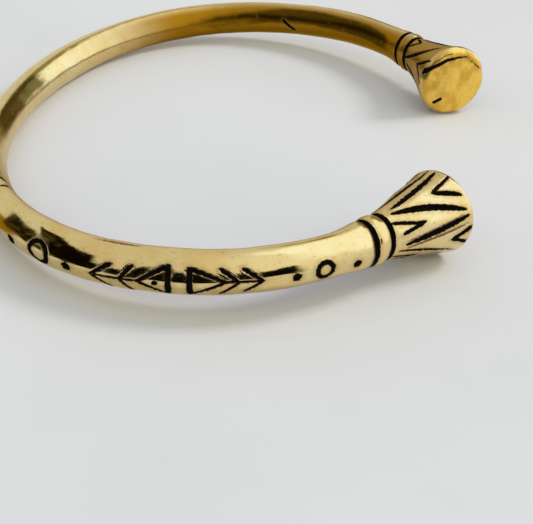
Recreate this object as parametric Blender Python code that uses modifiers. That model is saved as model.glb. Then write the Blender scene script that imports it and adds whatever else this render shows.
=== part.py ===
"""A cast brass cuff bracelet, lying on its side.

One open oval band of oval section runs from the middle of the back to two equal ends, and thickens
just before each. Each end has a collar, which is a plain ring between two turned grooves, and past
it a terminal that flares like a trumpet to a round rim with a rounded lip and a flat end face. The
arms sink a little below the plane of the back towards their ends. The whole cuff is one casting.

The cuff is drawn in its own plane, with the back at -X, the opening at +X and Z along the wearer's
arm. It then tips until both rims and the back touch the ground at Z = 0, with the origin under the
middle of its bounding box. Distances along the cuff are counted from an end face.
"""

import math

import bmesh
import bpy
from mathutils import Matrix, Quaternion, Vector

MM = 0.001

# Centreline of the band
CENTRE_HALF_WIDTH = 32.8 * MM  # from the middle to the side of the oval, along Y
CENTRE_HALF_DEPTH = 23.4 * MM  # from the middle to the back of the oval, along X
OVAL_POWER = 2.1  # 2 is an ellipse, and more is squarer
OPENING_HALF_ANGLE = math.radians(55.0)  # from the middle of the opening to the oval's end
STRAIGHT_END = 9.3 * MM  # from the oval's end to the end face
END_BEND = math.radians(5.0)  # how far the end face turns inwards along the straight end
ARM_DROP = 0.6 * MM  # of the end face below the plane of the back
ARM_DROP_RUN = 30.0 * MM  # how far from the end face the arm starts to sink

# Section of the band
BAND_THICKNESS = 3.3 * MM  # at the back, in the plane of the cuff
BAND_HEIGHT = 4.0 * MM  # at the back, along the wearer's arm
END_THICKNESS = 3.15 * MM  # where the band starts to thicken
END_HEIGHT = 3.8 * MM
SWELL_LENGTH = 4.0 * MM  # thickening run in front of the collar

# Collar
COLLAR_THICKNESS = 3.75 * MM
COLLAR_HEIGHT = 4.5 * MM
GROOVE_WIDTH = 0.5 * MM
GROOVE_DEPTH = 0.3 * MM
RING_WIDTH = 1.4 * MM  # between the two grooves
RING_CROWN = 0.08 * MM  # how far the ring stands out

# Terminal
TERMINAL_LENGTH = 8.4 * MM  # from the collar to the end face
RIM_THICKNESS = 8.1 * MM  # across the rim in the plane of the cuff
RIM_HEIGHT = 7.9 * MM
LIP_ROUNDING = 0.8 * MM
FLARE_POWER = 1.3  # 1 is a straight cone, and more opens later

# Fineness of the solid
SIDES = 24  # a multiple of 4, so that a corner lies lowest
BAND_STEP = 2.0 * MM
SWELL_STEP = 1.1 * MM
FLARE_STEP = 0.8 * MM
GROOVE_STEPS = 4
RING_STEPS = 3
LIP_STEPS = 4
CURVE_STEPS = 1200  # straight runs that stand for the oval when lengths are added up
STRAIGHT_STEPS = 60

MERGE_DISTANCE = 0.01 * MM

BRASS_COLOUR = (0.68, 0.47, 0.17, 1.0)
BRASS_ROUGHNESS = 0.24


def oval_point(angle):
    """The point of the oval seen from the middle at this angle from the opening."""
    along = abs(math.cos(angle) / CENTRE_HALF_DEPTH) ** OVAL_POWER
    across = abs(math.sin(angle) / CENTRE_HALF_WIDTH) ** OVAL_POWER
    radius = (along + across) ** (-1.0 / OVAL_POWER)
    return Vector((radius * math.cos(angle), radius * math.sin(angle), 0.0))


def straight_points(start, outward):
    """Points from the end face back to the oval's end, turned inwards more and more."""
    points = []
    for i in range(STRAIGHT_STEPS, 0, -1):
        share = i / STRAIGHT_STEPS
        turned = outward.copy()
        turned.rotate(Quaternion((0.0, 0.0, 1.0), -END_BEND * share / 2))
        points.append(start + turned * STRAIGHT_END * share)
    return points


def half_centreline():
    """Points of one arm from the end face to the middle of the back, with the length up to each."""
    sweep = math.pi - OPENING_HALF_ANGLE
    oval = [oval_point(OPENING_HALF_ANGLE + sweep * i / CURVE_STEPS) for i in range(CURVE_STEPS + 1)]
    outward = (oval[0] - oval[1]).normalized()
    points = straight_points(oval[0], outward) + oval
    lengths = [0.0]
    for before, after in zip(points, points[1:]):
        lengths.append(lengths[-1] + (after - before).length)
    for point, length in zip(points, lengths):
        point.z = -ARM_DROP * max(0.0, 1.0 - length / ARM_DROP_RUN) ** 2
    return points, lengths


def place_at(distance, points, lengths):
    """Centre of the section at this distance from the end face, and the direction to the end."""
    index = 1
    while index < len(lengths) - 1 and lengths[index] < distance:
        index += 1
    start, end = points[index - 1], points[index]
    share = (distance - lengths[index - 1]) / (lengths[index] - lengths[index - 1])
    return start.lerp(end, share), (start - end).normalized()


def mix(low, high, share):
    return low + (high - low) * share


def lip_stations():
    """Sections of the rounded lip, from the flat end face to the widest part of the rim."""
    stations = []
    for i in range(LIP_STEPS + 1):
        turn = 0.5 * math.pi * i / LIP_STEPS
        inset = LIP_ROUNDING * (1.0 - math.sin(turn))
        distance = LIP_ROUNDING * (1.0 - math.cos(turn))
        stations.append((distance, RIM_THICKNESS / 2 - inset, RIM_HEIGHT / 2 - inset))
    return stations


def flare_stations():
    """Sections from the rim down to the neck beside the collar."""
    count = max(3, round((TERMINAL_LENGTH - LIP_ROUNDING) / FLARE_STEP))
    stations = []
    for i in range(1, count + 1):
        opened = (1.0 - i / count) ** FLARE_POWER
        across = mix(COLLAR_THICKNESS, RIM_THICKNESS, opened) / 2
        height = mix(COLLAR_HEIGHT, RIM_HEIGHT, opened) / 2
        stations.append((mix(LIP_ROUNDING, TERMINAL_LENGTH, i / count), across, height))
    return stations


def bump_stations(start, width, rise, steps):
    """Sections of a rounded groove or ring round the collar; a groove has a negative rise."""
    stations = []
    for i in range(1, steps + 1):
        swell = rise * math.sin(math.pi * i / steps)
        across = COLLAR_THICKNESS / 2 + swell
        height = COLLAR_HEIGHT / 2 + swell
        stations.append((start + width * i / steps, across, height))
    return stations


def collar_stations():
    """Sections of the near groove, the ring and the far groove."""
    ring_start = TERMINAL_LENGTH + GROOVE_WIDTH
    ring_end = ring_start + RING_WIDTH
    stations = bump_stations(TERMINAL_LENGTH, GROOVE_WIDTH, -GROOVE_DEPTH, GROOVE_STEPS)
    stations += bump_stations(ring_start, RING_WIDTH, RING_CROWN, RING_STEPS)
    stations += bump_stations(ring_end, GROOVE_WIDTH, -GROOVE_DEPTH, GROOVE_STEPS)
    return stations


def band_half_sizes(from_collar, band_length):
    """Half thickness and half height of the band at this distance from the collar."""
    slimmed = (1.0 - from_collar / band_length) ** 2
    swollen = max(0.0, 1.0 - from_collar / SWELL_LENGTH) ** 2
    across = mix(BAND_THICKNESS, END_THICKNESS, slimmed)
    height = mix(BAND_HEIGHT, END_HEIGHT, slimmed)
    return mix(across, COLLAR_THICKNESS, swollen) / 2, mix(height, COLLAR_HEIGHT, swollen) / 2


def band_stations(arm_length):
    """Sections from the collar to the middle of the back."""
    collar_end = TERMINAL_LENGTH + 2 * GROOVE_WIDTH + RING_WIDTH
    band_length = arm_length - collar_end
    swell_count = max(2, round(SWELL_LENGTH / SWELL_STEP))
    count = max(8, round((band_length - SWELL_LENGTH) / BAND_STEP))
    distances = [SWELL_LENGTH * i / swell_count for i in range(1, swell_count + 1)]
    distances += [mix(SWELL_LENGTH, band_length, i / count) for i in range(1, count + 1)]
    return [(collar_end + d, *band_half_sizes(d, band_length)) for d in distances]


def add_section(shape, centre, direction, across, height, capped):
    """A ring of vertices square to the centreline; returns its edges."""
    up = Vector((0.0, 0.0, 1.0))
    side = direction.cross(up).normalized()
    axes = Matrix((side * across, up * height, direction)).transposed().to_4x4()
    ring = bmesh.ops.create_circle(
        shape, cap_ends=capped, segments=SIDES, radius=1.0, matrix=Matrix.Translation(centre) @ axes
    )
    return list({edge for vertex in ring["verts"] for edge in vertex.link_edges})


def arm_mesh():
    """One arm from its flat end face to the middle of the back, where it stays open."""
    points, lengths = half_centreline()
    stations = lip_stations() + flare_stations() + collar_stations() + band_stations(lengths[-1])
    shape = bmesh.new()
    last_ring = None
    for distance, across, height in stations:
        centre, direction = place_at(distance, points, lengths)
        if distance >= lengths[-1]:
            direction = Vector((0.0, 1.0, 0.0))
        ring = add_section(shape, centre, direction, across, height, capped=last_ring is None)
        if last_ring:
            bmesh.ops.bridge_loops(shape, edges=last_ring + ring)
        last_ring = ring
    bmesh.ops.recalc_face_normals(shape, faces=shape.faces)
    mesh = bpy.data.meshes.new("cuff")
    shape.to_mesh(mesh)
    shape.free()
    return mesh


def resting_tilt():
    """How far the cuff tips about Y when both rims and the back touch the ground."""
    points, lengths = half_centreline()
    rim_centre, _ = place_at(LIP_ROUNDING, points, lengths)
    drop = RIM_HEIGHT / 2 - rim_centre.z - BAND_HEIGHT / 2
    return math.atan2(drop, rim_centre.x + CENTRE_HALF_DEPTH)


def lay_down(cuff):
    """Tips the cuff and puts the origin on the ground under the middle of its bounding box."""
    cuff.rotation_euler.y = -resting_tilt()
    bpy.context.view_layer.update()
    seen = cuff.evaluated_get(bpy.context.evaluated_depsgraph_get())
    corners = [seen.matrix_world @ vertex.co for vertex in seen.data.vertices]
    low = Vector(min(corner[axis] for corner in corners) for axis in range(3))
    high = Vector(max(corner[axis] for corner in corners) for axis in range(3))
    cuff.location = (-(low.x + high.x) / 2, -(low.y + high.y) / 2, -low.z)


def brass():
    material = bpy.data.materials.new("brass")
    material.use_nodes = True
    shader = material.node_tree.nodes["Principled BSDF"]
    shader.inputs["Base Color"].default_value = BRASS_COLOUR
    shader.inputs["Metallic"].default_value = 1.0
    shader.inputs["Roughness"].default_value = BRASS_ROUGHNESS
    material.diffuse_color = BRASS_COLOUR
    return material


def make_cuff(collection):
    mesh = arm_mesh()
    mesh.materials.append(brass())
    mesh.shade_smooth()
    mesh.set_sharp_from_angle(angle=math.radians(35.0))
    cuff = bpy.data.objects.new("cuff", mesh)
    collection.objects.link(cuff)
    mirror = cuff.modifiers.new("other arm", "MIRROR")
    mirror.use_axis = (False, True, False)
    mirror.use_mirror_merge = True
    mirror.merge_threshold = MERGE_DISTANCE
    lay_down(cuff)
    return cuff


def main():
    for thing in list(bpy.data.objects):
        bpy.data.objects.remove(thing)
    collection = bpy.data.collections.new("cuff_bracelet")
    bpy.context.scene.collection.children.link(collection)
    make_cuff(collection)


main()
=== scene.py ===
"""Looks of the brass cuff bracelet: the engraved and patinated cuff, a pale floor, soft light, a camera.

The cuff is one closed mesh that stands for the plain solid. It has rings of points along its length
and columns round its section, evaluated from the same sizes as the solid. Engraving, filed flats,
hammer marks and slight unevenness then move the points along their normals. What the material needs
to know, such as the patina of the cuts, the tarnished spots and the painted dark reflection, is kept
with each point.

Lengths along the cuff and across its surface are in millimetres up to the finished mesh. A place on an
arm is (distance, angle): millimetres from the end face, and degrees round the section, where 0 is the
outside of the cuff, 90 the top, 180 the wrist's side and -90 the underside.
"""

import math

import bpy
import numpy as np
from mathutils import Matrix, Vector


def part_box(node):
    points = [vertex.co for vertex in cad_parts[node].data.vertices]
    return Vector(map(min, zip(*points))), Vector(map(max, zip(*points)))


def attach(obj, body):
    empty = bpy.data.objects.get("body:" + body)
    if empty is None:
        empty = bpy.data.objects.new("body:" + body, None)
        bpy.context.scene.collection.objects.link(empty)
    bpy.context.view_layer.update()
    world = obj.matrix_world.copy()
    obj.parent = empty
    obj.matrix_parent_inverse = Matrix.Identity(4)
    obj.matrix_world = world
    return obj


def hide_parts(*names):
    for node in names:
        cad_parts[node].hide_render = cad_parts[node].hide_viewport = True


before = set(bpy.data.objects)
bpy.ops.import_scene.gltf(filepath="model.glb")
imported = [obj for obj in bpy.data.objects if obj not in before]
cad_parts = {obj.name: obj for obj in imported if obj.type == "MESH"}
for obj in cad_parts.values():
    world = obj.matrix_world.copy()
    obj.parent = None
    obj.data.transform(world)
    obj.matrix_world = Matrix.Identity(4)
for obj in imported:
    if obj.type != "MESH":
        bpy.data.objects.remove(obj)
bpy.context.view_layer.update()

MM = 0.001
UP = np.array((0.0, 0.0, 1.0))

# Sizes of the solid, as in the part's source
CENTRE_HALF_WIDTH = 32.8
CENTRE_HALF_DEPTH = 23.4
OVAL_POWER = 2.1
OPENING_HALF_ANGLE = math.radians(55.0)
STRAIGHT_END = 9.3
END_BEND = math.radians(5.0)
ARM_DROP = 0.6
ARM_DROP_RUN = 30.0
BAND_THICKNESS = 3.3
BAND_HEIGHT = 4.0
END_THICKNESS = 3.15
END_HEIGHT = 3.8
SWELL_LENGTH = 4.0
COLLAR_THICKNESS = 3.75
COLLAR_HEIGHT = 4.5
GROOVE_WIDTH = 0.5
GROOVE_DEPTH = 0.3
RING_WIDTH = 1.4
RING_CROWN = 0.08
TERMINAL_LENGTH = 8.4
RIM_THICKNESS = 8.1
RIM_HEIGHT = 7.9
LIP_ROUNDING = 0.8
FLARE_POWER = 1.3
RING_START = TERMINAL_LENGTH + GROOVE_WIDTH
RING_END = RING_START + RING_WIDTH
COLLAR_END = RING_END + GROOVE_WIDTH
CURVE_STEPS = 1200
STRAIGHT_STEPS = 60

# Fineness of the mesh
FINE_COLUMNS = 176  # round a terminal; the band has every second one
SPLIT_DISTANCE = 8.65  # where the columns halve, at the bottom of a groove
FACE_RINGS = 16
LIP_RINGS = 8
FLARE_STEP = 0.115
COLLAR_STEP = 0.085
ENGRAVED_STEP = 0.12
PLAIN_STEP = 0.4
STEP_CHANGE_RUN = 1.0  # how far beside an engraved run the rings stand at the plain step
ENGRAVED_RUNS = (
    (11.9, 13.2), (14.2, 16.8), (17.3, 18.4), (20.0, 34.2), (35.3, 36.4), (37.4, 40.4), (41.8, 42.9),
    (46.0, 50.0),
)
CROWDING = 3.0  # how much closer together the columns are along the band's engraving
CROWDED_ANGLE = -8.0
CROWDED_WIDTH = 52.0
CROWDED_EDGE = 8  # how sharply the crowding ends round the section
CROWDED_FROM = 12.4
CROWDED_UNTIL = (42.5, 46.5)
ANGLE_STEPS = 3601

# Camera, in millimetres in the row frame
CAMERA_PLACE = (20.0, -108.8, 50.64)
CAMERA_AIM = (7.73, -23.37, 0.0)
CAMERA_ROLL = math.radians(4.73)
LENS = 77.1
SENSOR = 36.0
NEAREST_SEEN = 5.0

FAR_AWAY = 1e3  # a distance that any real one is less than
TINY = 1e-9
ROUNDING = 1e-6


def mix(low, high, share):
    return low + (high - low) * share


def smooth(low, high, value):
    """0 up to low, 1 from high, with a soft start and end between them."""
    share = np.clip((value - low) / (high - low), 0.0, 1.0)
    return share * share * (3.0 - 2.0 * share)


def wrapped(angle):
    """The same angle between -180 and 180 degrees."""
    return (angle + 180.0) % 360.0 - 180.0


# Shape of the solid


def oval_points(angles):
    along = np.abs(np.cos(angles) / CENTRE_HALF_DEPTH) ** OVAL_POWER
    across = np.abs(np.sin(angles) / CENTRE_HALF_WIDTH) ** OVAL_POWER
    radius = (along + across) ** (-1.0 / OVAL_POWER)
    return np.column_stack((radius * np.cos(angles), radius * np.sin(angles)))


def half_centreline():
    """Points of the +Y arm's centreline from the end face to the back, and the length up to each."""
    oval = oval_points(np.linspace(OPENING_HALF_ANGLE, math.pi, CURVE_STEPS + 1))
    outward = (oval[0] - oval[1]) / np.linalg.norm(oval[0] - oval[1])
    shares = np.arange(STRAIGHT_STEPS, 0, -1) / STRAIGHT_STEPS
    turns = -END_BEND * shares / 2
    straight = np.column_stack((
        outward[0] * np.cos(turns) - outward[1] * np.sin(turns),
        outward[0] * np.sin(turns) + outward[1] * np.cos(turns),
    ))
    points = np.vstack((oval[0] + straight * (STRAIGHT_END * shares)[:, None], oval))
    lengths = np.concatenate(((0.0,), np.cumsum(np.linalg.norm(np.diff(points, axis=0), axis=1))))
    return points, lengths


HALF_POINTS, HALF_LENGTHS = half_centreline()
ARM_LENGTH = HALF_LENGTHS[-1]
ALL_POINTS = np.vstack((HALF_POINTS * (1.0, -1.0), HALF_POINTS[-2::-1]))
ALL_LENGTHS = np.concatenate((HALF_LENGTHS, 2 * ARM_LENGTH - HALF_LENGTHS[-2::-1]))
TANGENT_REACH = 0.3


def from_end(travel):
    """Distance from the nearer end face of a point this far along the whole cuff."""
    return np.minimum(travel, 2 * ARM_LENGTH - travel)


def centre_at(travel):
    across = np.interp(travel, ALL_LENGTHS, ALL_POINTS[:, 0])
    along = np.interp(travel, ALL_LENGTHS, ALL_POINTS[:, 1])
    drop = -ARM_DROP * np.maximum(0.0, 1.0 - from_end(travel) / ARM_DROP_RUN) ** 2
    return np.column_stack((across, along, drop))


def outward_at(travel):
    """Horizontal direction away from the wrist, square to the centreline."""
    ahead = centre_at(np.minimum(travel + TANGENT_REACH, 2 * ARM_LENGTH))
    behind = centre_at(np.maximum(travel - TANGENT_REACH, 0.0))
    run = ahead - behind
    outward = np.column_stack((-run[:, 1], run[:, 0], np.zeros(len(run))))
    return outward / np.linalg.norm(outward, axis=1)[:, None]


def half_sizes(distance):
    """Half thickness and half height of the section at this distance from the end face."""
    lip = 1.0 - np.clip(distance / LIP_ROUNDING, 0.0, 1.0)
    inset = LIP_ROUNDING * (1.0 - np.sqrt(1.0 - lip * lip))
    opened = 1.0 - (distance - LIP_ROUNDING) / (TERMINAL_LENGTH - LIP_ROUNDING)
    opened = np.clip(opened, 0.0, 1.0) ** FLARE_POWER
    band_length = ARM_LENGTH - COLLAR_END
    past = np.maximum(0.0, distance - COLLAR_END)
    slimmed = (1.0 - past / band_length) ** 2
    swollen = np.maximum(0.0, 1.0 - past / SWELL_LENGTH) ** 2
    rise = np.zeros_like(distance)
    for start, width, height in (
        (TERMINAL_LENGTH, GROOVE_WIDTH, -GROOVE_DEPTH),
        (RING_START, RING_WIDTH, RING_CROWN),
        (RING_END, GROOVE_WIDTH, -GROOVE_DEPTH),
    ):
        rise += height * np.sin(math.pi * np.clip((distance - start) / width, 0.0, 1.0))
    sizes = []
    for rim, collar, end, back in (
        (RIM_THICKNESS, COLLAR_THICKNESS, END_THICKNESS, BAND_THICKNESS),
        (RIM_HEIGHT, COLLAR_HEIGHT, END_HEIGHT, BAND_HEIGHT),
    ):
        terminal = mix(collar, rim, opened) / 2 - inset
        band = mix(mix(back, end, slimmed), collar, swollen) / 2
        size = np.where(distance < TERMINAL_LENGTH, terminal, collar / 2 + rise)
        sizes.append(np.where(distance > COLLAR_END, band, size))
    return sizes


# Rings and columns


def arm_rings():
    """Distance of each ring from the end face, up to the back, and its share of the full section."""
    rings = [(0.0, i / FACE_RINGS) for i in range(1, FACE_RINGS)]
    for i in range(LIP_RINGS + 1):
        rings.append((LIP_ROUNDING * (1.0 - math.cos(0.5 * math.pi * i / LIP_RINGS)), 1.0))
    distance = LIP_ROUNDING
    stops = (
        (TERMINAL_LENGTH, FLARE_STEP),
        (SPLIT_DISTANCE, COLLAR_STEP),
        (COLLAR_END, COLLAR_STEP),
    )
    for stop, step in stops:
        count = max(2, round((stop - distance) / step))
        rings += [(mix(distance, stop, i / count), 1.0) for i in range(1, count + 1)]
        distance = stop
    while distance < ARM_LENGTH:
        beside = min(max(low - distance, distance - high, 0.0) for low, high in ENGRAVED_RUNS)
        distance += mix(ENGRAVED_STEP, PLAIN_STEP, min(1.0, beside / STEP_CHANGE_RUN))
        if distance < ARM_LENGTH - PLAIN_STEP / 2:
            rings.append((distance, 1.0))
    rings.append((ARM_LENGTH, 1.0))
    return np.array(rings)


def crowded_angles():
    """Angles of the columns where they crowd together on the outside of the band."""
    fine = np.linspace(-180.0, 180.0, ANGLE_STEPS)
    offset = wrapped(fine - CROWDED_ANGLE)
    density = 1.0 + CROWDING / (1.0 + (offset / CROWDED_WIDTH) ** CROWDED_EDGE)
    total = np.concatenate(((0.0,), np.cumsum((density[1:] + density[:-1]) / 2)))
    shares = np.arange(FINE_COLUMNS) / FINE_COLUMNS
    return np.interp(shares, total / total[-1], fine)


def column_angles(distance):
    """Angle of every column in every ring; they crowd on the band and are even elsewhere."""
    even = np.arange(FINE_COLUMNS) * 360.0 / FINE_COLUMNS - 180.0
    crowded = smooth(SPLIT_DISTANCE, CROWDED_FROM, distance) * (1.0 - smooth(*CROWDED_UNTIL, distance))
    return mix(even[None, :], crowded_angles()[None, :], crowded[:, None])


class Grid:
    """Points of the plain cuff, ring by ring, with what the engraving needs to know about each."""

    def __init__(self):
        arm = arm_rings()
        arm_count = len(arm)
        distance = np.concatenate((arm[:, 0], arm[-2::-1, 0]))
        self.share = np.concatenate((arm[:, 1], arm[-2::-1, 1]))
        self.far = np.arange(len(distance)) >= arm_count
        travel = np.where(self.far, 2 * ARM_LENGTH - distance, distance)
        self.angle = column_angles(distance)
        self.distance = np.repeat(distance[:, None], FINE_COLUMNS, axis=1)
        across, height = half_sizes(distance)
        across, height = across * self.share, height * self.share
        turn = np.radians(self.angle)
        out = across[:, None] * np.cos(turn)
        up = height[:, None] * np.sin(turn)
        centre, outward = centre_at(travel), outward_at(travel)
        self.points = centre[:, None, :] + outward[:, None, :] * out[:, :, None] + UP * up[:, :, None]
        self.reach = np.hypot(across[:, None] * np.sin(turn), height[:, None] * np.cos(turn))
        self.straight = np.stack((np.repeat(travel[:, None], FINE_COLUMNS, axis=1), out, up), axis=2)
        self.normals = self.outward_normals()

    def outward_normals(self):
        along = np.gradient(self.points, axis=0)
        around = np.roll(self.points, -1, axis=1) - np.roll(self.points, 1, axis=1)
        normals = np.cross(around, along)
        return normals / np.linalg.norm(normals, axis=2)[:, :, None]


# Engraving: each cut is its points, its full width, its depth and how its width runs along it

CUT_DEPTH = 0.16
LEAF_DEPTH = 0.24
SCRATCH_DEPTH = 0.04
DOT_DEPTH = 0.2
RING_DEPTH = 0.17
CHEVRON_WIDTHS = (0.44, 0.27)  # of its upper and its lower arm
TRIANGLE_FOOT = 7.5  # distance of a triangle's feet from the end face
TRIANGLE_TOP = 1.15
FOOT_PLAY = 0.3  # how far a hand-cut triangle's foot and top may be off
TOP_PLAY = 0.2
INNER_V_SPREAD = 0.22  # half width of the small V in a triangle, as a share of the triangle's
RIM_V_SPREAD = 13
RIM_V_PLAY = 2


def cut(points, width, depth=CUT_DEPTH, taper="blunt"):
    return {"points": points, "width": width, "depth": depth, "taper": taper}


def leaf(start, end, width=0.55):
    """A long cut that is widest in the middle and pointed at both ends."""
    return cut((start, end), width, LEAF_DEPTH, "leaf")


def scratch(start, end, width=0.18):
    """A thin shallow line."""
    return cut((start, end), width, SCRATCH_DEPTH, "leaf")


def dot(place, width=0.74):
    return cut((place, place), width, DOT_DEPTH, "round")


def ring(place, width, line):
    """A punched ring; radius is from its centre to the middle of its line."""
    return {**cut((place, place), line, RING_DEPTH, "round"), "radius": (width - line) / 2}


def chevron(apex, upper, lower):
    """An open V on its side; its upper arm is cut wider than its lower one and narrows to the apex."""
    upper_width, lower_width = CHEVRON_WIDTHS
    return [cut((upper, apex), upper_width, taper="wedge"), cut((apex, lower), lower_width)]


def arrow_strokes():
    """Two arrows of chevrons on the outside of an arm, which point away from each other."""
    return [
        *chevron((20.5, -4), (21.9, 29), (21.9, -36)),
        *chevron((22.3, -3), (23.6, 31), (23.7, -40)),
        cut(((20.6, -4), (23.4, 0)), 0.2),
        cut(((25.9, 33), (23.3, -1)), 0.5, taper="wedge"),
        cut(((23.3, -1), (25.9, -42)), 0.28),
        cut(((25.95, 34), (25.95, -42)), 0.46),
        cut(((27.55, 38), (27.55, -45)), 0.46),
        cut(((27.6, 37), (29.9, -9)), 0.5, taper="wedge"),
        cut(((29.9, -9), (27.55, -45)), 0.28),
        dot((28.55, -10), 0.46),
        *chevron((31.3, -10), (30.4, 27), (30.4, -46)),
        *chevron((33.65, -12), (32.1, 23), (32.1, -47)),
        cut(((29.9, -8), (33.4, -12)), 0.2),
    ]


def band_strokes():
    strokes = arrow_strokes()
    strokes += [dot((12.5, -12)), dot((17.85, -9)), dot((35.85, -13), 0.8), dot((42.3, -15), 0.9)]
    strokes += [ring((15.45, -6), 1.75, 0.4), ring((38.75, -5), 2.35, 0.44)]
    return strokes


def near_back_strokes():
    """A scratch on top of the -Y arm, and two narrow cuts with a scratch further back."""
    return [
        scratch((34.2, 90), (29.4, 92), 0.32),
        cut(((49.2, 103), (48.5, 120), (48.4, 147)), 0.34),
        cut(((47.4, 88), (47.1, 111)), 0.34),
        scratch((46.9, 114), (47.6, 146), 0.28),
    ]


def far_back_strokes():
    """One short slanting cut on the wrist side of the +Y arm."""
    return [cut(((29.6, 171), (28.8, 193), (27.9, 212)), 0.34)]


def triangle_strokes(rim_peak, feet, seed):
    """A tall triangle on a terminal: two leaf cuts that meet near the rim, a small V and a scratch."""
    chance = np.random.default_rng(seed)
    low, high = feet
    foot = TRIANGLE_FOOT + chance.uniform(-FOOT_PLAY, FOOT_PLAY)
    top = TRIANGLE_TOP + chance.uniform(-TOP_PLAY, TOP_PLAY)
    middle = (low + high) / 2
    spread = (high - low) * INNER_V_SPREAD
    return [
        leaf((foot, high), (top, rim_peak + 4)),
        leaf((foot + 0.2, low), (top - 0.1, rim_peak - 4)),
        cut(((8.2, middle + spread), (5.5, middle)), 0.22),
        cut(((7.7, middle - spread * 0.7), (5.3, middle)), 0.26),
        scratch((foot - 0.3, low + 4), (top + 0.4, rim_peak + 1)),
    ]


def rim_v_strokes(apex, middle, seed):
    """A small V between two triangles, open towards the rim."""
    chance = np.random.default_rng(seed)
    upper = middle + RIM_V_SPREAD + chance.uniform(-RIM_V_PLAY, RIM_V_PLAY)
    lower = middle - RIM_V_SPREAD + chance.uniform(-RIM_V_PLAY, RIM_V_PLAY)
    return [
        cut(((apex, middle), (0.75, upper)), 0.3),
        leaf((apex, middle), (0.85, lower), 0.42),
    ]


def near_terminal_strokes():
    strokes = [
        leaf((7.85, 74), (1.1, 24), 0.6),
        leaf((7.3, -8), (0.95, 17), 0.54),
        scratch((7.1, -17), (0.95, 7), 0.32),
        scratch((7.2, 0), (1.2, 20), 0.22),
        cut(((8.5, 52), (5.9, 30), (5.2, 28)), 0.3),
        cut(((7.5, 18), (5.3, 28)), 0.34),
        cut(((3.15, 68), (1.9, 71), (0.65, 74)), 0.3),
        leaf((3.3, 67), (0.95, 44), 0.5),
        cut(((2.5, -16), (0.72, 0)), 0.44),
        cut(((2.5, -16), (0.5, -26)), 0.36),
        leaf((7.9, -21), (1.4, -43), 0.3),
        leaf((7.7, -64), (4.6, -61), 0.22),
        leaf((7.3, 87), (0.95, 92), 0.56),
        leaf((7.9, 121), (0.9, 103), 0.44),
        scratch((6.6, 84), (1.6, 86), 0.16),
    ]
    strokes += triangle_strokes(170, (138, 196), 5)
    strokes += triangle_strokes(242, (206, 262), 6)
    strokes += triangle_strokes(312, (296, 332), 7)[2:]
    strokes += rim_v_strokes(2.9, 134, 8) + rim_v_strokes(3.1, 206, 9) + rim_v_strokes(2.8, 276, 10)
    return strokes


def far_terminal_strokes():
    strokes = [
        leaf((8.6, 178), (1.75, 106), 0.42),
        leaf((7.6, 84), (1.25, 93), 0.4),
        cut(((8.3, 138), (6.7, 111), (8.1, 98)), 0.26),
        leaf((4.0, 160), (0.5, 137), 0.42),
        cut(((4.0, 160), (0.8, 177)), 0.3),
        scratch((6.8, 150), (2.6, 111), 0.16),
        scratch((7.4, 166), (4.4, 142), 0.16),
    ]
    strokes += triangle_strokes(214, (190, 246), 15)
    strokes += triangle_strokes(292, (256, 314), 16)
    strokes += triangle_strokes(22, (-38, 72), 17)
    strokes += rim_v_strokes(3.0, 62, 18) + rim_v_strokes(3.1, -24, 19) + rim_v_strokes(2.9, 254, 20)
    return strokes


# What the cuts do to the grid

EDGE_REACH = 0.25  # on each side of a cut's edge, where its patina goes from full to nothing
BURR_HEIGHT = 0.02
BURR_WIDTH = 0.07
BURR_START = 0.8  # where the raised edge starts, as a share of the cut's half width
GRIME_REACH = 0.3
GROOVE_GRIME_START = 0.2
WOBBLE = 0.05  # how uneven a hand-cut edge is, as a share of its width
WOBBLE_WAVES = ((7.0, 0.31, 0.0), (13.0, -0.17, 1.0))  # rates along and around, and the start
CUT_MARGIN = 1.2
THIN_DEPTH = 0.1  # what is cut less deep than this is a scratch
THIN_BURR = 0.3
LEAST_DEPTH_SHARE = 0.3  # of a cut's depth where it is narrow
LEAF_TIP = 0.12  # tips and tails are shares of a cut's full width, and runs of its length
WEDGE_TIP = 0.7
WEDGE_TAIL = 0.55
WEDGE_TIP_RUN = 0.1
BLUNT_TIP = 0.6
BLUNT_TIP_RUN = 0.12
SHOULDER_DEPTH = 0.08  # of the rounding beside a turned groove
SHOULDER_REACH = 0.28
GILT_EDGE = (0.55, 0.1)  # where the gold colour of an end face starts on the lip, and is full


def filled_share(beyond):
    """A half on the edge of a cut, more inside and less outside; the material sharpens it."""
    return np.clip(0.5 - beyond / (2 * EDGE_REACH), 0.0, 1.0)


def taper_share(stroke, along):
    """Width of a cut, as a share of its full width, where along runs from 0 to 1."""
    if stroke["taper"] == "leaf":
        return mix(LEAF_TIP, 1.0, np.sqrt(np.maximum(0.0, 4 * along * (1 - along))))
    if stroke["taper"] == "wedge":
        return mix(1.0, WEDGE_TAIL, along) * mix(WEDGE_TIP, 1.0, smooth(0.0, WEDGE_TIP_RUN, along))
    if stroke["taper"] == "blunt":
        return mix(BLUNT_TIP, 1.0, smooth(0.0, BLUNT_TIP_RUN, np.minimum(along, 1 - along)))
    return np.ones_like(along)


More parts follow.
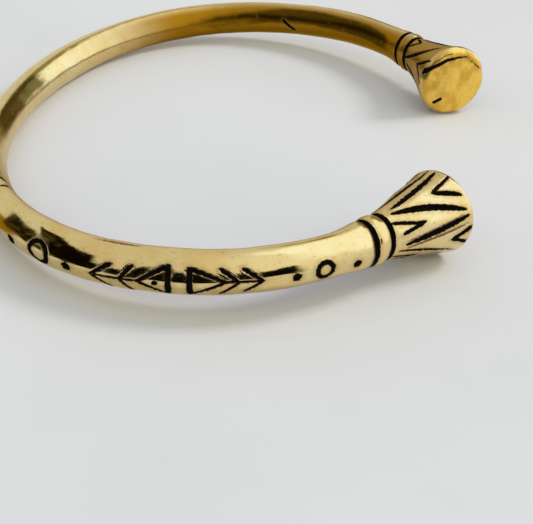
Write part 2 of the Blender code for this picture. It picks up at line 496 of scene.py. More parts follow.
def distance_to_cut(stroke, distance, angle, reach):
    """How far each point is from the middle of a cut, and the half width of the cut beside it."""
    nearest = np.full(distance.shape, FAR_AWAY)
    half_width = np.full(distance.shape, stroke["width"] / 2)
    points = stroke["points"]
    for i, (start, end) in enumerate(zip(points, points[1:])):
        across = np.radians(wrapped(angle - start[1])) * reach
        along = distance - start[0]
        run_along = end[0] - start[0]
        run_across = math.radians(end[1] - start[1]) * reach
        length = np.maximum(run_along**2 + run_across**2, TINY)
        share = np.clip((along * run_along + across * run_across) / length, 0.0, 1.0)
        away = np.hypot(along - share * run_along, across - share * run_across)
        whole = (i + share) / (len(points) - 1)
        closer = away < nearest
        nearest = np.where(closer, away, nearest)
        half_width = np.where(closer, taper_share(stroke, whole) * stroke["width"] / 2, half_width)
    return np.abs(nearest - stroke.get("radius", 0.0)), half_width


LAYERS = ("patina", "scratch", "grime", "unworn", "gilt", "soot")  # kept with the mesh for the material


class Relief:
    """What each point gets: depth and raised edge of the cuts, their patina, the metal's tones and its
    painted shade.
    """

    def __init__(self, shape):
        self.depth = np.zeros(shape)
        self.burr = np.zeros(shape)
        for name in LAYERS:
            setattr(self, name, np.zeros(shape))

    def engrave(self, stroke, grid, arm):
        reached = CUT_MARGIN + stroke.get("radius", 0.0)
        low = min(point[0] for point in stroke["points"]) - reached
        high = max(point[0] for point in stroke["points"]) + reached
        rows = np.flatnonzero(arm & (grid.distance[:, 0] >= low) & (grid.distance[:, 0] <= high))
        distance, angle, reach = grid.distance[rows], grid.angle[rows], grid.reach[rows]
        away, half = distance_to_cut(stroke, distance, angle, reach)
        waves = [np.sin(distance * along + angle * turn + start) for along, turn, start in WOBBLE_WAVES]
        half = half * (1.0 + WOBBLE * sum(waves))
        inside = np.clip(1.0 - (away / half) ** 2, 0.0, 1.0)
        narrow = np.clip(half * 2 / stroke["width"], LEAST_DEPTH_SHARE, 1.0)
        beside = np.maximum(away - half, 0.0)
        burr = BURR_HEIGHT * np.exp(-((beside / BURR_WIDTH) ** 2)) * (away > half * BURR_START)
        grime = np.exp(-((beside / GRIME_REACH) ** 2))
        filled = filled_share(away - half)
        thin = stroke["depth"] < THIN_DEPTH
        self.depth[rows] = np.maximum(self.depth[rows], stroke["depth"] * inside * narrow)
        self.burr[rows] = np.maximum(self.burr[rows], burr * (THIN_BURR if thin else 1.0))
        self.grime[rows] = np.maximum(self.grime[rows], grime * (not thin))
        target = self.scratch if thin else self.patina
        target[rows] = np.maximum(target[rows], filled)


# Deeper, rougher brass: where it starts and is full, by a point's look towards the wrist or its distance

INWARD_LOOK = (-0.1, 0.75)
BACK_FADE = (60.0, 44.0)
BACK_SHARE = 0.15
END_FADE = (6.0, 12.0)
END_SHARE = 0.85
LIP_FADE = (0.4, 1.0)
SHAFT_LOOK = (-0.7, 0.2)  # on the narrow part of the +Y terminal it comes further round
SHAFT_FADE = (10.0, 7.5)
SHAFT_SHARE = 0.85
PATCH_PLACE = (44.2, 11.0)  # of a small patch of deeper brass on the outside of the -Y arm
PATCH_SIZE = (2.7, 17.0)
PATCH_FADE = (1.3, 0.7)


def unworn(grid):
    """1 where the brass is deeper and rougher: the wrist's side of the arms, less so at back and ends.
    """
    distance = grid.distance
    inward = -np.cos(np.radians(grid.angle))
    beside_back = mix(BACK_SHARE, 1.0, smooth(*BACK_FADE, distance))
    beside_end = mix(END_SHARE, 1.0, smooth(*END_FADE, distance))
    arms = smooth(*INWARD_LOOK, inward) * (beside_back * beside_end)
    shaft = smooth(*SHAFT_LOOK, inward) * smooth(*SHAFT_FADE, distance) * grid.far[:, None]
    along = (distance - PATCH_PLACE[0]) / PATCH_SIZE[0]
    around = wrapped(grid.angle - PATCH_PLACE[1]) / PATCH_SIZE[1]
    patch = smooth(*PATCH_FADE, np.hypot(along, around)) * ~grid.far[:, None]
    return np.maximum(np.maximum(arms, SHAFT_SHARE * shaft) * smooth(*LIP_FADE, distance), patch)


# Painted dark reflection: its middle angle and its strength at distances along each arm, and a patch at
# the back

SOOT_MIDDLES = ((13.0, 172.0), (17.0, 160.0), (22.0, 158.0), (27.0, 150.0), (36.0, 172.0), (46.0, 190.0))
SOOT_STRENGTHS = ((12.0, 0.0), (14.0, 1.0), (24.0, 1.0), (29.0, 0.8), (36.0, 0.6), (48.0, 0.0))
SOOT_FADE = (44.0, 13.2)  # degrees from its middle where it starts, and is full
BACK_SOOT_ANGLE = 134.0
BACK_SOOT_RUN = (57.0, 64.0, 74.0, 79.0)  # where it starts, is full, is last full and ends
BACK_SOOT_STRENGTH = 0.9


def sooty(grid):
    """Share of painted dark reflection on the wrist side of the arms and on the upper wrist side of the
    back.
    """
    middle = np.interp(grid.distance, *np.transpose(SOOT_MIDDLES))
    arms = np.interp(grid.distance, *np.transpose(SOOT_STRENGTHS))
    arms = arms * smooth(*SOOT_FADE, np.abs(wrapped(grid.angle - middle)))
    travel = grid.straight[:, :, 0]
    start, full, last_full, end = BACK_SOOT_RUN
    back = BACK_SOOT_STRENGTH * smooth(start, full, travel) * smooth(end, last_full, travel)
    back = back * smooth(*SOOT_FADE, np.abs(wrapped(grid.angle - BACK_SOOT_ANGLE)))
    return np.maximum(arms, back)


def engraved(grid):
    """All cuts and turned grooves, the metal's tones and its painted dark reflection."""
    relief = Relief(grid.angle.shape)
    relief.unworn = unworn(grid)
    relief.gilt = smooth(*GILT_EDGE, grid.distance)
    # painted dark reflection on the wrist side of the arms and at the back
    relief.soot = sooty(grid)
    near = near_terminal_strokes() + near_back_strokes()
    far = far_terminal_strokes() + far_back_strokes()
    for arm, strokes in ((~grid.far, near), (grid.far, far)):
        for stroke in strokes + band_strokes():
            relief.engrave(stroke, grid, arm)
    for start in (TERMINAL_LENGTH, RING_END):
        away = np.abs(grid.distance - start - GROOVE_WIDTH / 2)
        beside = np.maximum(away - GROOVE_WIDTH / 2, 0.0)
        past = np.maximum(away - GROOVE_GRIME_START, 0.0)
        shoulder = SHOULDER_DEPTH * np.exp(-((beside / SHOULDER_REACH) ** 2))
        relief.depth = np.maximum(relief.depth, shoulder)
        relief.patina = np.maximum(relief.patina, filled_share(away - GROOVE_WIDTH / 2))
        relief.grime = np.maximum(relief.grime, np.exp(-((past / GRIME_REACH) ** 2)))
    return relief


# Marks on the end faces: points are millimetres outward and upward from the middle of the face

FACE_NICK = ((-2.35, -2.15), (-1.5, -1.82))
LIP_CREASE = (
    (-3.9, 1.45), (-3.0, 2.0), (-2.0, 2.35), (-1.0, 2.75),
    (0.3, 2.9), (1.3, 2.88), (2.3, 2.1), (3.2, 1.35),
)
NICK_HALF_WIDTH = 0.17
NICK_DEPTH = 0.12
CREASE_HALF_WIDTHS = (0.21, 0.06)  # at its wrist side, and where it runs out
CREASE_NARROWS = (0.3, 0.75)  # shares of the way along it
ROLL_WIDTHS = (1.15, 0.5)  # of the part of the face that bends down into the crease
ROLL_DEPTHS = (0.07, 0.03)
ROLL_NARROWS = (-0.8, 1.8)  # places outward from the middle of the face
ROLL_FADE = (2.9, 2.0)
RISE_WIDTH = 1.0  # from the crease up to the lip
# brown painted along the bend into the crease, standing in for the brown of its dark reflection; it also
# dulls the metal there
ROLL_GRIME = 1.6
LIP_GRIME_DISTANCE = 0.3  # from the end face to where the lip is least polished
LIP_GRIME_REACH = 0.4
LIP_GRIME_ANGLE = 170.0
LIP_GRIME_LOOK = 0.6


def away_from_line(points, out, up):
    """How far each point of a face is from a line, and its share of the way along it."""
    nearest = np.full(out.shape, FAR_AWAY)
    along = np.zeros(out.shape)
    for i, (start, end) in enumerate(zip(points, points[1:])):
        run = np.subtract(end, start)
        from_out, from_up = out - start[0], up - start[1]
        share = np.clip((from_out * run[0] + from_up * run[1]) / (run @ run), 0.0, 1.0)
        away = np.hypot(from_out - share * run[0], from_up - share * run[1])
        along = np.where(away < nearest, (i + share) / (len(points) - 1), along)
        nearest = np.minimum(nearest, away)
    return nearest, along


def mark_faces(grid, relief):
    """A short nick on the +Y face; on both a crease inside the upper lip, and a bend down into it."""
    on_face = grid.distance < LIP_ROUNDING
    on_far_face = on_face * grid.far[:, None]
    out, up = grid.straight[:, :, 1], grid.straight[:, :, 2]
    nearest, _ = away_from_line(FACE_NICK, out, up)
    inside = np.clip(1.0 - (nearest / NICK_HALF_WIDTH) ** 2, 0.0, 1.0) * on_far_face
    relief.depth = np.maximum(relief.depth, NICK_DEPTH * inside)
    relief.patina = np.maximum(relief.patina, filled_share(nearest - NICK_HALF_WIDTH) * on_far_face)

    nearest, along = away_from_line(LIP_CREASE, out, up)
    half_width = mix(*CREASE_HALF_WIDTHS, smooth(*CREASE_NARROWS, along))
    relief.patina = np.maximum(relief.patina, filled_share(nearest - half_width) * on_face)
    narrowed = smooth(*ROLL_NARROWS, out)
    below = up < np.interp(out, *np.transpose(LIP_CREASE))
    bend = np.clip(1.0 - nearest / mix(*ROLL_WIDTHS, narrowed), 0.0, 1.0) ** 2
    roll = np.where(below, bend, smooth(RISE_WIDTH, 0.0, nearest)) * smooth(*ROLL_FADE, out) * on_face
    relief.depth = np.maximum(relief.depth, roll * mix(*ROLL_DEPTHS, narrowed))
    # painted shade: brown along the bend into the crease, for the brown of its dark reflection
    relief.grime = np.maximum(relief.grime, ROLL_GRIME * roll)
    on_lip = np.exp(-(((grid.distance - LIP_GRIME_DISTANCE) / LIP_GRIME_REACH) ** 2))
    turned = np.cos(np.radians(grid.angle - LIP_GRIME_ANGLE))
    relief.grime = np.maximum(relief.grime, on_lip * smooth(0.0, LIP_GRIME_LOOK, turned))


# Filed flats, hammer marks and the slight unevenness of a hand-finished casting

WAVES = 24
SLOW_WAVES = (0.035, (1.1, 1.3, 1.3))  # height, and radians a millimetre along, outward and upward
QUICK_WAVES = (0.008, (2.5, 4.5, 4.5))
SLOWEST_TURN = 0.6
FACET_DEPTHS = (0.15, 0.28)  # of the flat filed along the outside of the band, and nearer the back
FACET_DEEPENS = (20.0, 26.0)
FACET_ANGLES = (25.0, 39.0)  # how far it looks upward where it starts and where it ends, in degrees
FACET_RUN = (13.0, 16.0, 50.0, 56.0)  # where it starts, is full, is last full and ends
WRIST_FACET_DEPTH = 0.17  # of the flat on the upper wrist side of the back
WRIST_FACET_ANGLE = 154.0
WRIST_FACET_START = (36.0, 45.0)
FACET_CROWN = 7.0  # radius of a flat's slight curve
FACET_SOFTNESS = 0.012
WRIST_FACET_SOFTNESS = 0.05
RIM_FLAT_DEPTH = 0.45  # of the flat filed on the rim of the -Y terminal
RIM_FLAT_ANGLE = 144.0
RIM_FLAT_WIDTH = 36.0
RIM_FLAT_FADE = (1.2, 4.5)
RIM_FLAT_EDGE = (0.6, 1.0)  # shares of the way from the middle of the end face to its rim
HAMMER_MARKS = 26
HAMMER_RADIUS = 5.0  # of the hammer's own round face
HAMMER_SPREAD = 3.4  # how far from the middle of the end face the marks are
HAMMER_DEPTH = 0.04
HAMMER_PLAY = 0.05
DEEPEST_MARK = 0.12
HAMMERED_EDGE = (0.05, 0.5)


def uneven(grid):
    """Slow waves over the whole cuff, so that reflections wander as on a hand-polished casting."""
    chance = np.random.default_rng(3)
    waves = np.zeros(grid.angle.shape)
    for height, rates in (SLOW_WAVES, QUICK_WAVES):
        for i in range(WAVES):
            turn = chance.normal(0.0, 1.0, 3) * rates
            size = height / max(SLOWEST_TURN, np.linalg.norm(turn))
            waves += size * np.sin(grid.straight @ turn + chance.uniform(0.0, 2 * math.pi))
    return waves / math.sqrt(WAVES)


def flat(grid, angle, depth, softness):
    """A long, slightly crowned flat filed along the band, square to this angle of its section."""
    looks = np.radians(angle)
    across, height = half_sizes(grid.distance)
    back = FACET_CROWN + depth - np.hypot(across * np.cos(looks), height * np.sin(looks))
    out = grid.straight[:, :, 1] + back * np.cos(looks)
    up = grid.straight[:, :, 2] + back * np.sin(looks)
    proud = (np.hypot(out, up) - FACET_CROWN) / softness
    facing = np.cos(np.radians(grid.angle) - looks) > 0.0
    return -softness * np.logaddexp(0.0, proud) * facing


def faceted(grid):
    """The flat along the engraved outside of the band, and the one round the wrist side of the back."""
    start, full, last_full, end = FACET_RUN
    share = np.clip((grid.distance - start) / (end - start), 0.0, 1.0)
    depth = mix(*FACET_DEPTHS, smooth(*FACET_DEEPENS, grid.distance))
    outside = flat(grid, mix(*FACET_ANGLES, share**2), depth, FACET_SOFTNESS)
    fade = 1.0 - smooth(last_full, end, grid.distance)
    outside = outside * smooth(start, full, grid.distance) * fade
    wrist_side = flat(grid, WRIST_FACET_ANGLE, WRIST_FACET_DEPTH, WRIST_FACET_SOFTNESS)
    return outside + wrist_side * smooth(*WRIST_FACET_START, grid.distance)


def filed(grid):
    """A flat filed on the rim of the -Y terminal, which fades towards the collar."""
    beside = wrapped(grid.angle - RIM_FLAT_ANGLE) / RIM_FLAT_WIDTH
    fade = (1.0 - smooth(*RIM_FLAT_FADE, grid.distance)) * smooth(*RIM_FLAT_EDGE, grid.share)[:, None]
    return -RIM_FLAT_DEPTH * np.exp(-(beside**2)) * fade * ~grid.far[:, None]


def hammered(grid):
    """Shallow overlapping hollows on the two end faces, deepest inside each mark."""
    hollows = np.zeros(grid.angle.shape)
    face = 1.0 - smooth(*HAMMERED_EDGE, grid.distance)
    across, up = grid.straight[:, :, 1], grid.straight[:, :, 2]
    for arm, seed in ((~grid.far, 41), (grid.far, 42)):
        chance = np.random.default_rng(seed)
        marks = np.full(grid.angle.shape, -1.0)
        for i in range(HAMMER_MARKS):
            radius = HAMMER_SPREAD * math.sqrt(chance.uniform(0.0, 1.0))
            turn = chance.uniform(0.0, 2 * math.pi)
            depth = chance.uniform(0.0, HAMMER_PLAY)
            away = np.hypot(across - radius * math.cos(turn), up - radius * math.sin(turn))
            marks = np.maximum(marks, depth - away**2 / (2 * HAMMER_RADIUS))
        hollows = np.where(arm[:, None], marks, hollows)
    return -np.clip(HAMMER_DEPTH + hollows, 0.0, DEEPEST_MARK) * face


# Mesh


def ring_faces(first, second, columns):
    """Quads between two rings with the same number of columns."""
    here = np.arange(columns)
    after = (here + 1) % columns
    return np.column_stack((first + here, first + after, second + after, second + here)).tolist()


def split_faces(fine, coarse, columns, fine_first):
    """Three triangles for each coarse column where a ring of twice as many columns meets it."""
    faces = []
    for j in range(columns):
        left, right = coarse + j, coarse + (j + 1) % columns
        a, b, c = fine + 2 * j, fine + 2 * j + 1, fine + (2 * j + 2) % (2 * columns)
        trio = [(a, b, left), (b, right, left), (b, c, right)]
        faces += trio if fine_first else [face[::-1] for face in trio]
    return faces


def cuff_mesh(grid, relief, shift):
    """One closed mesh: the rings joined in turn, with a fan in the middle of each end face."""
    lifted = grid.points + grid.normals * shift[:, :, None]
    vertices, values, faces, starts = [], [], [], []
    layers = np.stack([getattr(relief, name) for name in LAYERS], axis=2)
    count = 0
    fine_rows = grid.distance[:, 0] <= SPLIT_DISTANCE + ROUNDING
    for row in range(len(lifted)):
        step = 1 if fine_rows[row] else 2
        starts.append(count)
        vertices.append(lifted[row, ::step])
        values.append(np.concatenate((layers[row, ::step], grid.straight[row, ::step]), axis=1))
        count += FINE_COLUMNS // step
    for row in range(len(lifted) - 1):
        first, second = starts[row], starts[row + 1]
        if fine_rows[row] == fine_rows[row + 1]:
            faces += ring_faces(first, second, FINE_COLUMNS if fine_rows[row] else FINE_COLUMNS // 2)
        elif fine_rows[row]:
            faces += split_faces(first, second, FINE_COLUMNS // 2, True)
        else:
            faces += split_faces(second, first, FINE_COLUMNS // 2, False)
    here = np.arange(FINE_COLUMNS)
    after = (here + 1) % FINE_COLUMNS
    for row, flipped in ((0, False), (len(starts) - 1, True)):
        vertices.append(lifted[row].mean(axis=0)[None, :])
        values.append(values[row].mean(axis=0)[None, :])
        fan = np.column_stack((starts[row] + here, starts[row] + after, np.full(FINE_COLUMNS, count)))
        faces += (fan if flipped else fan[:, ::-1]).tolist()
        count += 1
    mesh = bpy.data.meshes.new("engraved_cuff")
    mesh.from_pydata(np.vstack(vertices) * MM, [], faces)
    values = np.vstack(values)
    for i, name in enumerate(LAYERS):
        layer = mesh.attributes.new(name, "FLOAT", "POINT")
        layer.data.foreach_set("value", values[:, i].astype(np.float32))
    layer = mesh.attributes.new("straight", "FLOAT_VECTOR", "POINT")
    layer.data.foreach_set("vector", values[:, len(LAYERS):].astype(np.float32).ravel())
    mesh.validate()
    mesh.shade_smooth()
    return mesh


def resting_tilt():
    """How far the cuff tips about Y when both rims and the back touch the ground."""
    rim_centre = centre_at(np.array((LIP_ROUNDING,)))[0]
    drop = RIM_HEIGHT / 2 - rim_centre[2] - BAND_HEIGHT / 2
    return math.atan2(drop, rim_centre[0] + CENTRE_HALF_DEPTH)


def lay_down(mesh, plain_points):
    """Tips the cuff as the solid lies, and puts its box's middle and bottom where the solid's are."""
    turn = Matrix.Rotation(-resting_tilt(), 4, "Y")
    tipped = plain_points.reshape(-1, 3) @ np.array(turn.to_3x3()).T * MM
    low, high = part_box("cuff")
    move = Vector((
        (low.x + high.x - tipped[:, 0].min() - tipped[:, 0].max()) / 2,
        (low.y + high.y - tipped[:, 1].min() - tipped[:, 1].max()) / 2,
        low.z - tipped[:, 2].min(),
    ))
    mesh.transform(Matrix.Translation(move) @ turn)


# Materials


class Shader:
    """A small helper that adds and links the nodes of one material or world."""

    def __init__(self, tree):
        self.tree = tree
        self.nodes = tree.nodes

    def add(self, kind, settings=None, **links):
        """Adds a node; settings are its properties, links its sockets' values or what feeds them."""
        node = self.nodes.new(kind)
        for name, value in (settings or {}).items():
            setattr(node, name, value)
        for name, value in links.items():
            self.join(node.inputs[name.replace("_", " ")], value)
        return node

    def join(self, socket, value):
        if isinstance(value, bpy.types.NodeSocket):
            self.tree.links.new(value, socket)
        else:
            socket.default_value = value

    def math(self, operation, first, second=0.0, third=0.0):
        node = self.add("ShaderNodeMath", {"operation": operation})
        for socket, value in zip(node.inputs, (first, second, third)):
            self.join(socket, value)
        return node.outputs[0]

    def blend(self, share, first, second):
        node = self.add("ShaderNodeMix", {"data_type": "RGBA"})
        colour_sockets = [socket for socket in node.inputs if socket.type == "RGBA"]
        self.join(node.inputs[0], share)
        self.join(colour_sockets[0], first)
        self.join(colour_sockets[1], second)
        return node.outputs[2]

    def span(self, value, low, high, to_low=0.0, to_high=1.0):
        """Maps a value from one range to another, softly at both ends."""
        node = self.add(
            "ShaderNodeMapRange", {"interpolation_type": "SMOOTHSTEP"},
            Value=value, From_Min=low, From_Max=high, To_Min=to_low, To_Max=to_high,
        )
        return node.outputs[0]

    def facing(self, direction, side):
        """1 where a direction points to this side, less away from it."""
        node = self.add("ShaderNodeVectorMath", {"operation": "DOT_PRODUCT"})
        self.join(node.inputs[0], direction)
        self.join(node.inputs[1], side)
        return node.outputs["Value"]

    def stretched(self, place, scales):
        return self.add("ShaderNodeMapping", Vector=place, Scale=scales).outputs[0]

    def noise(self, place, scale, detail, rough):
        node = self.add("ShaderNodeTexNoise", Vector=place, Scale=scale, Detail=detail, Roughness=rough)
        return node.outputs["Fac"]

    def attribute(self, name):
        return self.add("ShaderNodeAttribute", {"attribute_name": name})


WHITE = (1.0, 1.0, 1.0, 1.0)
PALE_BRASS = (0.87, 0.71, 0.35, 1.0)
WARM_BRASS = (0.83, 0.62, 0.26, 1.0)
DEEP_BRASS = (0.36, 0.17, 0.006, 1.0)
# colour of the painted dark reflection on the wrist side of the arms and at the back
SOOTY_BRASS = (0.042, 0.025, 0.001, 1.0)
EDGE_BRASS = (0.82, 0.74, 0.48, 1.0)  # tint of the deeper brass and of the painted dark reflection, seen almost edge-on
GOLD = (0.96, 0.61, 0.11, 1.0)
DULL_GOLD = (0.74, 0.43, 0.06, 1.0)
# brown of the tarnished spots, of the dirt by the cuts and of the painted shade along the end faces'
# bend
TARNISH = (0.42, 0.23, 0.05, 1.0)
RED_BROWN = (0.20, 0.06, 0.02, 1.0)
BROWN_PATINA = (0.10, 0.045, 0.015, 1.0)
BLACK_PATINA = (0.004, 0.0035, 0.003, 1.0)

# Scale, detail and roughness of each noise in the brass, and how it is stretched
CLOUDS = (0.35, 4.0, 0.6)
PATCHES = (0.62, 3.0, 0.55)
MOTTLES = (0.9, 5.0, 0.62)
MOTTLE_STRETCH = (0.4, 1.3, 1.3)
SPECKS = (2.2, 6.0, 0.65)
RAGGED = (4.5, 3.0, 0.6)
STREAKS = (2.5, 4.0, 0.6)
STREAK_STRETCH = (0.25, 5.0, 5.0)
PITS = (6.0, 5.0, 0.7)

# Values between which one state turns into the next; a second pair is what they turn into
CLOUD_SPAN = (0.35, 0.65)
PATCH_SPAN = (0.4, 0.62)
SOOT_SPAN = (0.1, 1.0)
SPECK_SPAN = (0.56, 0.72)
GRIME_SPAN = (0.35, 0.6, 0.1, 0.5)
SCRATCH_SPAN = (0.44, 0.6)
BROWN_SPAN = (0.38, 0.52)
BLACK_SPAN = (0.46, 0.56)
GLOSS_SPAN = (0.3, 0.75, 0.02, 0.09)
WRIST_SPAN = (0.2, -1.0)

# How strongly each of them shows
SOOT_SHARE = 0.85
SOOT_GAIN = 1.25
SOOT_LEVEL = -0.7
MOTTLE_GAIN = 1.3
SPECK_SHARE = 0.45
RAGGED_GAIN = 0.4
SCRATCH_SHARE = 0.85
TARNISH_ROUGHNESS = 0.3
UNPOLISHED_ROUGHNESS = 0.12
WRIST_ROUGHNESS = 0.14
PATINA_ROUGHNESS = 0.7
SCRATCH_DULLNESS = 0.6
PATINA_SHINE = 0.03
STREAK_HEIGHT = 0.5
BUMP_STRENGTH = 0.09
BUMP_DEPTH = 0.02


def brass_material():
    material = bpy.data.materials.new("antique_brass")
    material.use_nodes = True
    shader = Shader(material.node_tree)
    surface = shader.nodes["Principled BSDF"]
    straight = shader.attribute("straight").outputs["Vector"]
    patina, scratches, grime, unpolished, gilt, soot = [
        shader.attribute(name).outputs["Fac"] for name in LAYERS
    ]

    # polished brass, gold end faces, deeper brass, and the painted dark reflection
    cloudy = shader.span(shader.noise(straight, *CLOUDS), *CLOUD_SPAN)
    colour = shader.blend(cloudy, PALE_BRASS, WARM_BRASS)
    colour = shader.blend(unpolished, colour, DEEP_BRASS)
    patches = shader.span(shader.noise(straight, *PATCHES), *PATCH_SPAN)
    gold = shader.blend(patches, GOLD, DULL_GOLD)
    colour = shader.blend(gilt, colour, gold)
    # painted dark reflection, mottled, on the wrist side of the arms and at the back
    mottled = shader.noise(shader.stretched(straight, MOTTLE_STRETCH), *MOTTLES)
    soot = shader.math("MULTIPLY_ADD", soot, SOOT_GAIN, SOOT_LEVEL)
    soot = shader.span(shader.math("MULTIPLY_ADD", mottled, MOTTLE_GAIN, soot), *SOOT_SPAN)
    colour = shader.blend(shader.math("MULTIPLY", soot, SOOT_SHARE), colour, SOOTY_BRASS)

    # specks of tarnished brass, dirt by the cuts and grooves with painted brown shade along the end
    # faces' bend, scratches, and patina in the cuts
    specks = shader.noise(straight, *SPECKS)
    tarnish = shader.math("MULTIPLY", shader.span(specks, *SPECK_SPAN), SPECK_SHARE)
    near_cuts = shader.math("MULTIPLY", grime, shader.span(specks, *GRIME_SPAN))
    tarnish = shader.math("MAXIMUM", tarnish, near_cuts)
    colour = shader.blend(tarnish, colour, TARNISH)
    ragged = shader.noise(straight, *RAGGED)
    ragged = shader.math("MULTIPLY_ADD", ragged, RAGGED_GAIN, -RAGGED_GAIN / 2)
    scratches = shader.span(shader.math("ADD", scratches, ragged), *SCRATCH_SPAN)
    colour = shader.blend(shader.math("MULTIPLY", scratches, SCRATCH_SHARE), colour, RED_BROWN)
    edge = shader.math("ADD", patina, ragged)
    black = shader.span(edge, *BLACK_SPAN)
    colour = shader.blend(shader.span(edge, *BROWN_SPAN), colour, BROWN_PATINA)
    colour = shader.blend(black, colour, BLACK_PATINA)
    shader.join(surface.inputs["Base Color"], colour)

    # gloss: streaked, duller on tarnished spots, dirt and the painted brown shade, on the deeper brass
    # and on the wrist's side
    streaks = shader.noise(shader.stretched(straight, STREAK_STRETCH), *STREAKS)
    gloss = shader.math("MULTIPLY_ADD", tarnish, TARNISH_ROUGHNESS, shader.span(streaks, *GLOSS_SPAN))
    gloss = shader.math("MULTIPLY_ADD", unpolished, UNPOLISHED_ROUGHNESS, gloss)
    out = shader.add("ShaderNodeSeparateXYZ", Vector=straight).outputs["Y"]
    gloss = shader.math("MULTIPLY_ADD", shader.span(out, *WRIST_SPAN), WRIST_ROUGHNESS, gloss)
    dull = shader.math("MAXIMUM", black, shader.math("MULTIPLY", scratches, SCRATCH_DULLNESS))
    roughness = shader.add("ShaderNodeMix", Factor=dull)
    shader.join(roughness.inputs[2], gloss)
    shader.join(roughness.inputs[3], PATINA_ROUGHNESS)
    shader.join(surface.inputs["Roughness"], roughness.outputs[0])
    shader.join(surface.inputs["Metallic"], shader.math("SUBTRACT", 1.0, black))
    surface.inputs["Specular IOR Level"].default_value = PATINA_SHINE
    edge_tint = shader.blend(shader.math("MAXIMUM", unpolished, soot), WHITE, EDGE_BRASS)
    shader.join(surface.inputs["Specular Tint"], edge_tint)

    # fine pits and polishing streaks
    pits = shader.noise(straight, *PITS)
    height = shader.math("MULTIPLY_ADD", streaks, STREAK_HEIGHT, pits)
    bump = shader.add("ShaderNodeBump", Strength=BUMP_STRENGTH, Distance=BUMP_DEPTH * MM, Height=height)
    shader.join(surface.inputs["Normal"], bump.outputs[0])
    return material


PALE_STONE = (0.80, 0.81, 0.82, 1.0)
GREY_STONE = (0.76, 0.77, 0.78, 1.0)
STONE_CLOUDS = (18.0, 6.0, 0.6)
STONE_SPAN = (0.35, 0.7)
STONE_ROUGHNESS = 0.45
STONE_SHINE = 0.3


def floor_material():
    material = bpy.data.materials.new("pale_stone")
    material.use_nodes = True
    shader = Shader(material.node_tree)
    surface = shader.nodes["Principled BSDF"]
    place = shader.add("ShaderNodeTexCoord").outputs["Object"]
    clouds = shader.span(shader.noise(place, *STONE_CLOUDS), *STONE_SPAN)
    shader.join(surface.inputs["Base Color"], shader.blend(clouds, PALE_STONE, GREY_STONE))
    surface.inputs["Roughness"].default_value = STONE_ROUGHNESS
    surface.inputs["Specular IOR Level"].default_value = STONE_SHINE
    return material


# Floor, light and camera

FLOOR_REACH = 2.5


def add_object(name, data):
    thing = bpy.data.objects.new(name, data)
    bpy.context.scene.collection.objects.link(thing)
    return thing


def make_floor():
    mesh = bpy.data.meshes.new("floor")
    corners = [(x * FLOOR_REACH, y * FLOOR_REACH, 0.0) for x, y in ((-1, -1), (1, -1), (1, 1), (-1, 1))]
    mesh.from_pydata(corners, [], [(0, 1, 2, 3)])
    mesh.materials.append(floor_material())
    floor = add_object("floor", mesh)


# What the metal reflects: x runs from left to right in the picture, y to the back and z upward
LEFT_SKY = (0.68, 0.67, 0.61, 1.0)
RIGHT_SKY = (0.90, 0.89, 0.82, 1.0)
SKY_SPAN = (-0.3, 0.7)
WINDOW = (1.12, 1.2, 1.3, 1.0)
WINDOW_SIDE = (0.742, 0.346, 0.574)  # direction of the window's middle
WINDOW_EDGE = (0.62, 0.78)
WINDOW_CORE = (1.25, 1.4, 1.6, 1.0)
CORE_SIDE = (0.635, 0.757, 0.156)
CORE_EDGE = (0.94, 0.99)
DIM_WALL = (0.31, 0.26, 0.10, 1.0)
WALL_RIGHT = (0.44, 0.36)
WALL_LEFT = (-0.2, -0.05)
WALL_FRONT = (0.4, 0.55)
WALL_TOP = (0.72, 0.6)
SHADE = (0.004, 0.0025, 0.001, 1.0)
SHADE_BACK = (-0.2, -0.28)  # the dark shapes stand in front of this
SHADE_SLANT = 0.35
LEFT_SHAPE_EDGE = (-0.62, -0.68)
LEFT_SHAPE_TOP = (-0.9, -0.98, 0.42, 0.0)
MIDDLE_TOP = (-0.5, -0.25, 0.24, 0.42)
RIGHT_SINKS = (0.1, 0.8, 0.0, 0.1)
SHAPE_NOISE = (7.0, 5.0, 0.6)
SHAPE_NOISE_HEIGHT = 0.14
OLIVE = (0.20, 0.15, 0.015, 1.0)
OLIVE_NOISE = (16.0, 5.0, 0.65)
OLIVE_SPAN = (0.5, 0.68)
OLIVE_EDGE = (-0.84, -0.93)

BACKDROP = (0.64, 0.65, 0.66, 1.0)
FRONT_LIGHT = (0.88, 0.87, 0.70, 1.0)  # on the floor, from the camera's side and from the back
BACK_LIGHT = (0.42, 0.44, 0.63, 1.0)
LIGHT_SPAN = (-0.6, 0.6)

SUN_PLACE = (0.49, 0.35, 0.53)
SUN_SIZE = 0.22
SUN_POWER = 2.6
SUN_COLOUR = (1.0, 0.98, 0.94)


def bright_room(shader, direction):
    """Colour of the walls: pale, brightest in a wide window, and dim beside it at the back."""
    across, back, height = shader.add("ShaderNodeSeparateXYZ", Vector=direction).outputs
    colour = shader.blend(shader.span(across, *SKY_SPAN), LEFT_SKY, RIGHT_SKY)
    window = shader.span(shader.facing(direction, WINDOW_SIDE), *WINDOW_EDGE)
    colour = shader.blend(window, colour, WINDOW)
    core = shader.span(shader.facing(direction, CORE_SIDE), *CORE_EDGE)
    colour = shader.blend(core, colour, WINDOW_CORE)
    dim = shader.span(across, *WALL_RIGHT)
    for value, span in ((across, WALL_LEFT), (back, WALL_FRONT), (height, WALL_TOP)):
        dim = shader.math("MULTIPLY", dim, shader.span(value, *span))
    return shader.blend(dim, colour, DIM_WALL)


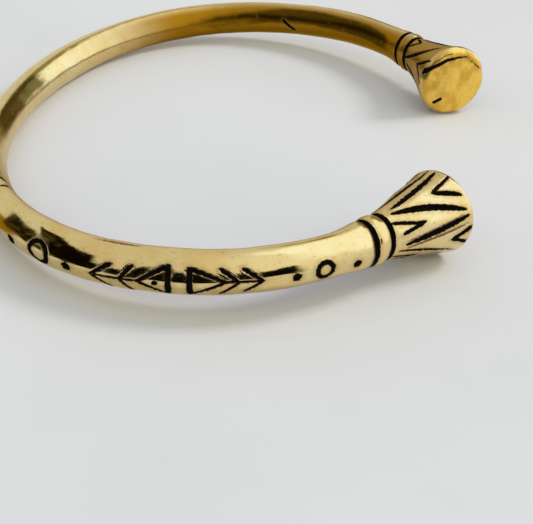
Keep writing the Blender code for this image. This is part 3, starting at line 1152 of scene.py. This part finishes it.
def with_dark_shapes(shader, direction, colour):
    """Two dark shapes with uneven tops in front, one at the left and one low, and some olive."""
    across, back, height = shader.add("ShaderNodeSeparateXYZ", Vector=direction).outputs
    ragged = shader.noise(direction, *SHAPE_NOISE)
    ragged = shader.math("MULTIPLY_ADD", ragged, SHAPE_NOISE_HEIGHT, -SHAPE_NOISE_HEIGHT / 2)
    edge = shader.math("ADD", height, ragged)
    under_left_top = shader.math("LESS_THAN", edge, shader.span(across, *LEFT_SHAPE_TOP))
    left_shape = shader.math("MULTIPLY", shader.span(across, *LEFT_SHAPE_EDGE), under_left_top)
    sunk = shader.span(across, *RIGHT_SINKS)
    low_top = shader.math("SUBTRACT", shader.span(across, *MIDDLE_TOP), sunk)
    low_shape = shader.math("LESS_THAN", edge, low_top)
    in_front = shader.span(shader.math("MULTIPLY_ADD", across, SHADE_SLANT, back), *SHADE_BACK)
    shaded = shader.math("MULTIPLY", shader.math("MAXIMUM", left_shape, low_shape), in_front)
    olive = shader.span(shader.noise(direction, *OLIVE_NOISE), *OLIVE_SPAN)
    olive = shader.math("MULTIPLY", olive, shader.span(across, *OLIVE_EDGE))
    return shader.blend(shaded, colour, shader.blend(olive, SHADE, OLIVE))


def make_world():
    """The room that the metal reflects, a plain soft light for the floor, and a plain backdrop."""
    world = bpy.data.worlds.new("studio")
    bpy.context.scene.world = world
    world.use_nodes = True
    shader = Shader(world.node_tree)
    background = shader.nodes["Background"]
    direction = shader.add("ShaderNodeTexCoord").outputs["Generated"]
    colour = with_dark_shapes(shader, direction, bright_room(shader, direction))
    rays = shader.add("ShaderNodeLightPath").outputs
    back = shader.add("ShaderNodeSeparateXYZ", Vector=direction).outputs["Y"]
    soft = shader.blend(shader.span(back, *LIGHT_SPAN), FRONT_LIGHT, BACK_LIGHT)
    colour = shader.blend(rays["Is Diffuse Ray"], colour, soft)
    shader.join(background.inputs["Color"], shader.blend(rays["Is Camera Ray"], colour, BACKDROP))


def make_sun():
    """A small bright light at the back right, which the metal doesn't reflect."""
    light = bpy.data.lights.new("sun", "AREA")
    light.shape = "SQUARE"
    light.size = SUN_SIZE
    light.energy = SUN_POWER
    light.color = SUN_COLOUR
    sun = add_object("sun", light)
    sun.location = SUN_PLACE
    sun.rotation_euler = (-Vector(SUN_PLACE)).to_track_quat("-Z", "Y").to_euler()
    sun.visible_camera = False
    sun.visible_glossy = False


def make_camera():
    data = bpy.data.cameras.new("camera")
    data.lens = LENS
    data.sensor_width = SENSOR
    data.clip_start = NEAREST_SEEN * MM
    camera = add_object("camera", data)
    place, target = Vector(CAMERA_PLACE) * MM, Vector(CAMERA_AIM) * MM
    turn = (target - place).to_track_quat("-Z", "Y").to_matrix().to_4x4()
    camera.matrix_world = Matrix.Translation(place) @ turn @ Matrix.Rotation(CAMERA_ROLL, 4, "Z")
    bpy.context.scene.camera = camera


def make_cuff():
    grid = Grid()
    relief = engraved(grid)
    mark_faces(grid, relief)
    shift = uneven(grid) + faceted(grid) + filed(grid) + hammered(grid) + relief.burr - relief.depth
    mesh = cuff_mesh(grid, relief, shift)
    lay_down(mesh, grid.points)
    mesh.materials.append(brass_material())
    cuff = add_object("engraved_cuff", mesh)
    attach(cuff, "root")
    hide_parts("cuff")


def main():
    make_floor()
    make_cuff()
    make_world()
    make_sun()
    make_camera()
    bpy.context.scene.view_settings.view_transform = "Standard"


main()
